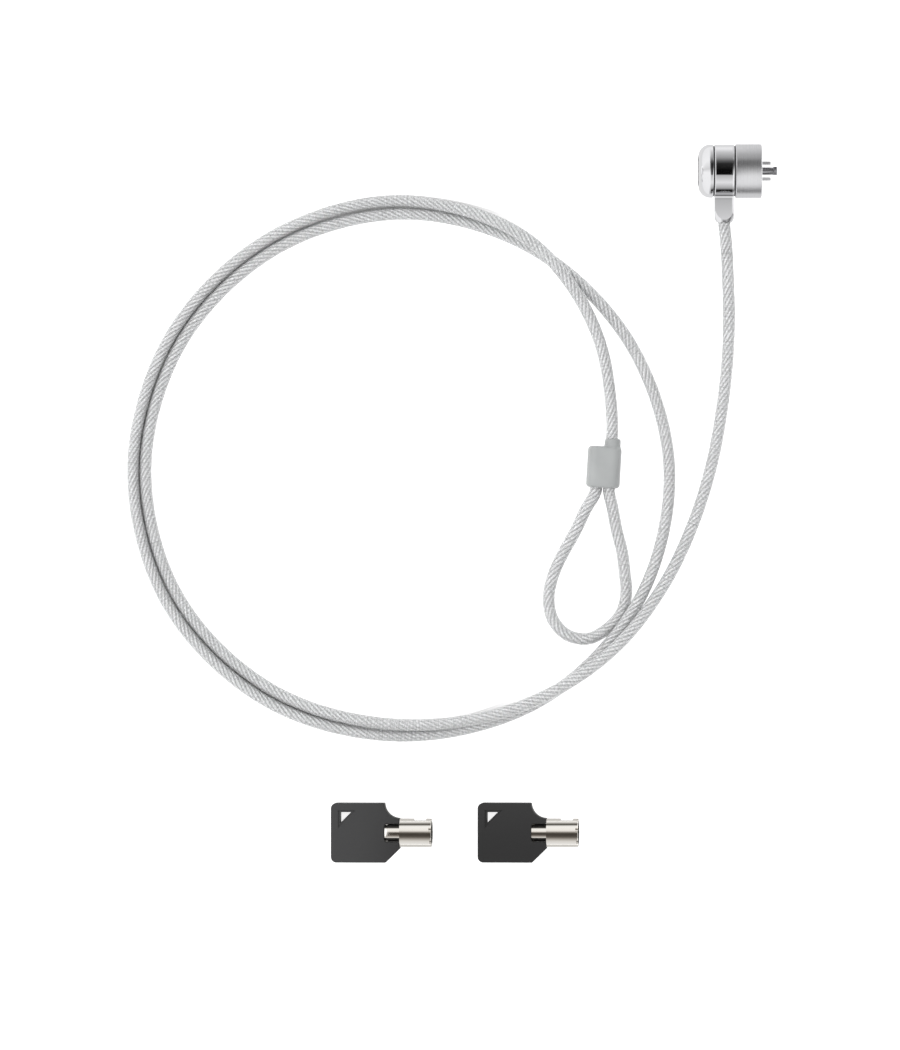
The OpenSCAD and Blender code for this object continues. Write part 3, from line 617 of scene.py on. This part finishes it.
head = new_cube("key_head", (0, -head_w / 2, -head_t / 2), (head_len, head_w / 2, head_t / 2))
bpy.ops.object.mode_set(mode="EDIT")
select_where("EDGE", lambda edge: all(v.co.x < 0.1 * MM for v in edge.verts)
             and abs(edge.verts[0].co.z - edge.verts[1].co.z) > MM)
bpy.ops.mesh.bevel(offset=head_round, segments=8)
bpy.ops.mesh.select_all(action="SELECT")
bpy.ops.mesh.bisect(
    plane_co=(head_len - slant_len, -head_w / 2, 0),
    plane_no=Vector((slant_rise, -slant_len, 0)).normalized(), clear_outer=True, use_fill=True)
bpy.ops.object.mode_set(mode="OBJECT")
combine(head, new_bar("shoulder", "Z", -head_t, head_t, shoulder_r, (head_len, head_w / 2, 0), 96))
notch = new_cube(
    "notch", (head_len - notch_len, -notch_half, -head_t), (head_len + MM, notch_half, head_t))
bpy.ops.object.mode_set(mode="EDIT")
select_where("EDGE", lambda edge: all(v.co.x < head_len - notch_len + 0.1 * MM for v in edge.verts)
             and abs(edge.verts[0].co.z - edge.verts[1].co.z) > MM)
bpy.ops.mesh.bevel(offset=notch_round, segments=6)
bpy.ops.object.mode_set(mode="OBJECT")
combine(head, notch)


def triangle_cutter(grow, z_from, z_to):
    """A three-cornered block for the ring hole, its right angle at the hole's corner."""
    leg = hole_leg + 2.4 * grow     # the long side moves out by the same border as the legs
    middle = (hole_corner.x + (leg - grow) / 2, hole_corner.y - (leg - grow) / 2, z_from)
    bpy.ops.object.select_all(action="DESELECT")
    bpy.ops.mesh.primitive_plane_add(size=1)
    cutter = bpy.context.object
    bpy.ops.object.mode_set(mode="EDIT")
    bpy.ops.transform.resize(value=(leg + grow, leg + grow, 1))
    bpy.ops.transform.translate(value=middle)
    bpy.ops.mesh.bisect(plane_co=middle, plane_no=(1, -1, 0), clear_outer=True)
    bpy.ops.mesh.select_all(action="SELECT")
    bpy.ops.mesh.extrude_region_move(TRANSFORM_OT_translate={"value": (0, 0, z_to - z_from)})
    bpy.ops.mesh.select_all(action="SELECT")
    bpy.ops.mesh.normals_make_consistent(inside=False)
    bpy.ops.object.mode_set(mode="OBJECT")
    return cutter


finish_with(
    head, "BEVEL", width=edge_round, segments=4, limit_method="ANGLE", angle_limit=math.radians(50))
combine(head, triangle_cutter(0, -head_t, head_t))
for side in (-1, 1):
    combine(head, triangle_cutter(
        hole_border, side * head_t / 2 - hole_border_depth, side * head_t / 2 + hole_border_depth))
smooth(head, 35)

# Moulded ABS: near black, matt, with grain about a tenth of a millimetre across. It is drawn
# coarser here so that it shows.
grain_size = 0.35 * MM
black_abs, tree, shader = new_finish("black_abs", "#232324", {"Specular IOR Level": 0.45})
place = add_node(tree, "TexCoord")
grain = add_node(
    tree, "TexNoise", {"Vector": place.outputs["Object"], "Scale": 1 / grain_size, "Detail": 3.0})
bump = add_node(tree, "Bump", {"Height": grain.outputs[0], "Strength": 0.35, "Distance": 0.05 * MM})
tree.links.new(bump.outputs[0], shader.inputs["Normal"])
dullness = add_node(tree, "MapRange", {"Value": grain.outputs[0], "To Min": 0.45, "To Max": 0.65})
tree.links.new(dullness.outputs[0], shader.inputs["Roughness"])
head.data.materials.append(black_abs)

# ---------- key tubes and shanks ----------
# The tubular blade is turned and plated brass, with a nib and one rim cut for each pin.
# It sits on the shank, whose flat tang is moulded into the head.

tube_len, tube_edge = 11.5 * MM, 0.25 * MM
nib_len, nib_notch_len, nib_notch = 2 * MM, 4.4 * MM, 0.75 * MM
tube_start = head_len + 0.05 * MM
tube_end = head_len + tube_len
pin_cut_r = 0.8 * MM
pin_cuts = [0.4, 0.9, 0.6, 1.1, 0.3, 0.8, 0.5]      # the depth of each cut, in mm
blade = new_bar("key_blade", "X", tube_start, tube_end, tube_r, vertices=round_steps)
bpy.ops.object.mode_set(mode="EDIT")
select_where("FACE", lambda face: len(face.verts) > 4)
bpy.ops.mesh.inset(thickness=tube_r - tube_bore_r)
bpy.ops.mesh.bridge_edge_loops()
select_where("EDGE", rim_at(tube_end, tube_r))
bpy.ops.mesh.bevel(offset=tube_edge, segments=3)
bpy.ops.object.mode_set(mode="OBJECT")
combine(blade, new_cube(
    "nib_notch", (tube_end - nib_len - nib_notch_len, tube_r - nib_notch, -tube_r),
    (tube_end - nib_len, 2 * tube_r, tube_r)))
for i, depth in enumerate(pin_cuts):
    turn = (i + 0.5) * 2 * math.pi / len(pin_cuts)
    cut = new_bar(
        "pin_cut", "X", tube_end - depth * MM, tube_end + MM, pin_cut_r,
        (0, tube_r * math.cos(turn), tube_r * math.sin(turn)), 32)
    combine(blade, cut)
smooth(blade, 28)

# Nickel plate: warm white and bright, with fine lines round the tube from turning.
nickel, tree, shader = new_finish("nickel_plate", "#f6f3ee", {"Metallic": 1.0})
add_lines(tree, shader, 0.15 * MM, 0.004 * MM, 0.04, 0.12)
blade.data.materials.append(nickel)

# The tube is thicker than the head, so a key lies tilted, on its tube and on its head's far edge.
table_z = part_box("lock_body")[0].z
key_place = Vector((-154.6 * MM, -238.35 * MM, table_z))
key_pitch = 52.9 * MM
tilt = math.atan((tube_r - head_t / 2) / tube_start)
for i, body in enumerate(("key_1", "key_2")):
    stand = (
        Matrix.Translation(key_place + Vector((i * key_pitch, 0, 0)))
        @ Matrix.Rotation(-tilt, 4, "Y") @ Matrix.Translation((0, 0, head_t / 2)))
    for piece, node, slot in ((head, "head", "black_abs"), (blade, "tube", "nickel")):
        copy = piece.copy()
        copy.data = piece.data.copy()
        copy.name = f"{body}_{piece.name.split('_')[1]}"
        bpy.context.collection.objects.link(copy)
        copy.data.transform(stand)
        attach(copy, body)
        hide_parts(f"{body}_{node}")
    nodes[f"{body}_shank"].data.materials[0] = nickel
bpy.data.objects.remove(head)
bpy.data.objects.remove(blade)

# ---------- studio ----------
# A white paper floor under a bright even sky, as in a light tent. Graded cards and tunnels that
# only mirrors see stand round the lock and the keys, and draw the bands on the bright metal.

bpy.ops.object.select_all(action="DESELECT")
bpy.ops.mesh.primitive_plane_add(size=6, location=(view_centre.x, view_centre.y, table_z))
floor = bpy.context.object
floor.name = "floor"

# White paper, lit until it burns out. It glows everywhere but under the line where the coil's two
# turns touch, where its glow drops to paint a shade line that keeps the join between them dark.
paper_glow, painted_shade_glow = 0.85, 0.02
join_r = 95 * MM
paper, tree, shader = new_finish("white_paper", "#bcbcbc", {"Roughness": 0.9})
shader.inputs["Emission Color"].default_value = linear("#ffffff")
place = add_node(tree, "TexCoord")
coil_middle = Vector((*coil_centre, 0)) * MM - view_centre
from_middle = add_node(
    tree, "VectorMath", {0: place.outputs["Object"], 1: coil_middle}, operation="DISTANCE")
past_join = add_node(tree, "Math", {0: from_middle.outputs["Value"], 1: join_r}, operation="SUBTRACT")
off_join = add_node(tree, "Math", {0: past_join.outputs[0]}, operation="ABSOLUTE")
beside = add_node(tree, "MapRange", {
    "Value": off_join.outputs[0], "From Min": 2 * MM, "From Max": 3 * MM,
    "To Min": painted_shade_glow, "To Max": paper_glow})
split = add_node(tree, "SeparateXYZ", {0: place.outputs["Object"]})
# The painted shade line shows left of the view's middle and fades out over the 35 mm to its right.
apart = add_node(tree, "MapRange", {
    "Value": split.outputs["X"], "From Min": 0.0, "From Max": 35 * MM,
    "To Min": painted_shade_glow, "To Max": paper_glow})
glow = add_node(tree, "Math", {0: beside.outputs[0], 1: apart.outputs[0]}, operation="MAXIMUM")
tree.links.new(glow.outputs[0], shader.inputs["Emission Strength"])
floor.data.materials.append(paper)

world = bpy.data.worlds.new("studio")
bpy.context.scene.world = world
world.use_nodes = True
sky = world.node_tree.nodes["Background"]
sky.inputs["Color"].default_value = linear("#ffffff")
place = add_node(world.node_tree, "TexCoord")
split = add_node(world.node_tree, "SeparateXYZ", {0: place.outputs["Generated"]})
glow = add_node(world.node_tree, "MapRange", {
    "Value": split.outputs["X"], "From Min": -1.0, "From Max": 1.0, "To Min": 2.0, "To Max": 1.0})
world.node_tree.links.new(glow.outputs[0], sky.inputs["Strength"])


def only_in_mirrors(piece):
    """Leaves a stage piece to be seen by bright metal alone."""
    piece.visible_camera = False
    piece.visible_diffuse = False
    piece.visible_shadow = False
    piece.visible_transmission = False


def card(name, low, high, colour):
    """A glowing card just over the floor, which mirrors see in the floor's place."""
    made = new_cube(name, (*low, table_z + 0.2 * MM), (*high, table_z + 0.3 * MM))
    material, tree, shader = new_finish(
        name, "#000000", {"Specular IOR Level": 0.0, "Emission Strength": 1.0})
    shader.inputs["Emission Color"].default_value = linear(colour)
    made.data.materials.append(material)
    only_in_mirrors(made)


card("lock_card", (-160 * MM, -60 * MM), (60 * MM, 40 * MM), "#e4e4e4")
card("key_card", (-138 * MM, key_place.y - 25 * MM), (-60 * MM, key_place.y + 25 * MM), "#cfcecc")

# A low grey wall far out all round gives bright metal an edge from any side.
wall_r, wall_height = 1500 * MM, 700 * MM
wall = new_bar("mirror_wall", "Z", table_z, table_z + wall_height, wall_r, view_centre, 96)
bpy.ops.object.mode_set(mode="EDIT")
select_where("FACE", lambda face: abs(face.normal.z) > 0.9)
bpy.ops.mesh.delete(type="FACE")
bpy.ops.object.mode_set(mode="OBJECT")
wall_paint, tree, shader = new_finish(
    "grey_wall", "#000000", {"Specular IOR Level": 0.0, "Emission Strength": 1.0})
place = add_node(tree, "TexCoord")
split = add_node(tree, "SeparateXYZ", {0: place.outputs["Object"]})
rise = add_node(
    tree, "MapRange", {"Value": split.outputs["Z"], "From Min": 0.0, "From Max": wall_height})
shade = add_node(tree, "ValToRGB", {0: rise.outputs[0]})
shade.color_ramp.elements[0].color = linear("#3c3c3c")
shade.color_ramp.elements[1].color = linear("#c8c8c8")
tree.links.new(shade.outputs[0], shader.inputs["Emission Color"])
wall.data.materials.append(wall_paint)
only_in_mirrors(wall)


tent_r = 30 * MM


def light_tent(name, x_from, x_to, y, z, bands):
    """A tunnel along X whose inside glows in graded bands, given as degrees from overhead
    towards +Y and a colour."""
    tent = new_bar(name, "X", x_from, x_to, tent_r, (0, y, z), 128)
    bpy.ops.object.mode_set(mode="EDIT")
    select_where("FACE", lambda face: abs(face.normal.x) > 0.9)
    bpy.ops.mesh.delete(type="FACE")
    bpy.ops.object.mode_set(mode="OBJECT")
    material = bpy.data.materials.new(name)
    material.use_nodes = True
    tree = material.node_tree
    tree.nodes.remove(tree.nodes["Principled BSDF"])
    place = add_node(tree, "TexCoord")
    split = add_node(tree, "SeparateXYZ", {0: place.outputs["Object"]})
    side = add_node(tree, "Math", {0: split.outputs["Y"], 1: y}, operation="SUBTRACT")
    rise = add_node(tree, "Math", {0: split.outputs["Z"], 1: z}, operation="SUBTRACT")
    angle = add_node(tree, "Math", {0: side.outputs[0], 1: rise.outputs[0]}, operation="ARCTAN2")
    share = add_node(
        tree, "MapRange", {"Value": angle.outputs[0], "From Min": -math.pi, "From Max": math.pi})
    ramp = add_node(tree, "ValToRGB", {0: share.outputs[0]})
    while len(ramp.color_ramp.elements) < len(bands):
        ramp.color_ramp.elements.new(0.5)
    for element, (degrees, colour) in zip(ramp.color_ramp.elements, bands):
        element.position = 0.5 + degrees / 360
        element.color = linear(colour)
    glow = add_node(tree, "Emission", {"Color": ramp.outputs[0]})
    tree.links.new(glow.outputs[0], tree.nodes["Material Output"].inputs["Surface"])
    tent.data.materials.append(material)
    only_in_mirrors(tent)


# Each tent's stretch of X takes in one part of the lock, or the keys.
dome_seam, ring_seam, nose = -17.2 * MM, -9.6 * MM, 4.5 * MM
dome_curve = -20.5 * MM
light_tent("ring_tent", dome_seam, ring_seam, 0, 0, [
    (-155, "#808080"), (-120, "#f8f8f8"), (-108, "#d0d0d0"), (-95, "#202020"), (-80, "#181818"),
    (-70, "#acacac"), (-45, "#eaeaea"), (-18, "#bababa"), (-15, "#060606"), (0, "#060606"),
    (25, "#282828"), (35, "#5a5a5a"), (50, "#a0a0a0"), (75, "#cccccc"), (95, "#f4f4f4")])
light_tent("body_tent", ring_seam, nose, 0, 0, [
    (-140, "#ffffff"), (-105, "#f4f4f4"), (-85, "#5c5c5c"), (-70, "#c0c0c0"), (-55, "#ffffff"),
    (-20, "#ffffff"), (-10, "#e4e4e4"), (12, "#707070"), (24, "#484848"), (35, "#5c5c5c"),
    (47, "#b0b0b0"), (60, "#b4b4b4"), (75, "#d4d4d4"), (115, "#f0f0f0")])
light_tent("dome_edge_tent", dome_curve, dome_seam, 0, 0, [
    (-120, "#f0f0f0"), (-90, "#a8a8a8"), (-75, "#c8c8c8"), (-50, "#f4f4f4"), (-18, "#eeeeee"),
    (-4, "#bbbbbb"), (10, "#6c6c6c"), (28, "#5c5c5c"), (42, "#9c9c9c"), (60, "#d8d8d8"),
    (100, "#f4f4f4")])
light_tent("dome_back_tent", -160 * MM, dome_curve, 0, 0, [
    (-120, "#f0f0f0"), (-60, "#f8f8f8"), (-8, "#fafafa"), (6, "#dadada"), (16, "#e6e6e6"),
    (40, "#fafafa"), (120, "#f2f2f2")])
light_tent("bar_tent", nose, 30 * MM, 0, 0, [
    (-120, "#e8e8e8"), (-70, "#5a5a5a"), (-45, "#3a3a3a"), (-22, "#8a8a8a"), (-8, "#d8d8d8"),
    (8, "#c8c8c8"), (22, "#7a7a7a"), (45, "#2c2c2c"), (70, "#4a4a4a"), (120, "#e8e8e8")])
light_tent("key_tent", -139 * MM, -60 * MM, key_place.y, key_place.z + 4 * MM, [
    (-120, "#e0e0e0"), (-90, "#eeeeee"), (-60, "#d8d6d3"), (-45, "#a8a39e"), (-30, "#5e5953"),
    (-15, "#403b36"), (-2, "#48433d"), (6, "#918c87"), (13, "#dfdcd8"), (20, "#f4f2ef"),
    (45, "#fbfbfa"), (51, "#e8e8e6"), (58, "#8a8884"), (66, "#2c2a28"), (75, "#a09e9a"),
    (86, "#e6e6e5"), (140, "#cccccc")])
